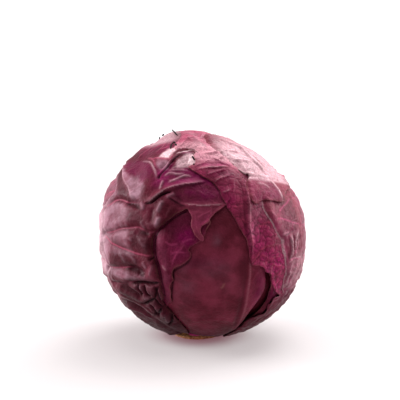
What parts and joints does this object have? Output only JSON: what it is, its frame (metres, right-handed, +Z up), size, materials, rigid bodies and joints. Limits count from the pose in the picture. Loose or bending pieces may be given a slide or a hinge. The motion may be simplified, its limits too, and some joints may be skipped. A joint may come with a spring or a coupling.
{
  "type": "red cabbage head",
  "caption": "Whole red cabbage standing on its cut stem, with loose veined and torn outer leaves wrapped round a closed inner head.",
  "frame": {"origin": "middle of the stem's flat cut face, on which the head stands", "axes": "+Z up through the head to its crown; -Y towards the front, where the torn leaves show; +X to the right as seen from the front"},
  "size_m": [0.1497, 0.1477, 0.1496],
  "materials": {
    "stump": "dry, fibrous, cut",
    "inner_head": "smooth waxy leaf, semi-gloss",
    "leaf_burgundy": "smooth dark burgundy leaf, semi-gloss",
    "leaf_magenta": "bright magenta leaf, semi-gloss",
    "leaf_waxy": "puckered dusky purple leaf with grey wax bloom, satin",
    "leaf_veined": "net-veined magenta leaf, semi-gloss",
    "leaf_pale": "pale pinkish-brown leaf with wax bloom, satin",
    "cut_flesh": "moist cut leaf rib, semi-gloss"
  },
  "bodies": {
    "root": {"stem_stump": "stump", "inner_head": "inner_head", "front_leaf": "leaf_burgundy", "torn_inner_leaf": "leaf_magenta", "right_inner_leaf": "leaf_burgundy", "left_outer_leaf": "leaf_waxy", "right_veined_leaf": "leaf_veined", "right_outer_leaf": "leaf_pale", "top_right_leaf": "leaf_pale", "back_middle_leaf": "leaf_burgundy", "back_left_leaf": "leaf_waxy", "back_right_leaf": "leaf_veined", "cut_leaf_base_front": "cut_flesh", "cut_leaf_base_back": "cut_flesh"}
  },
  "joints": []
}
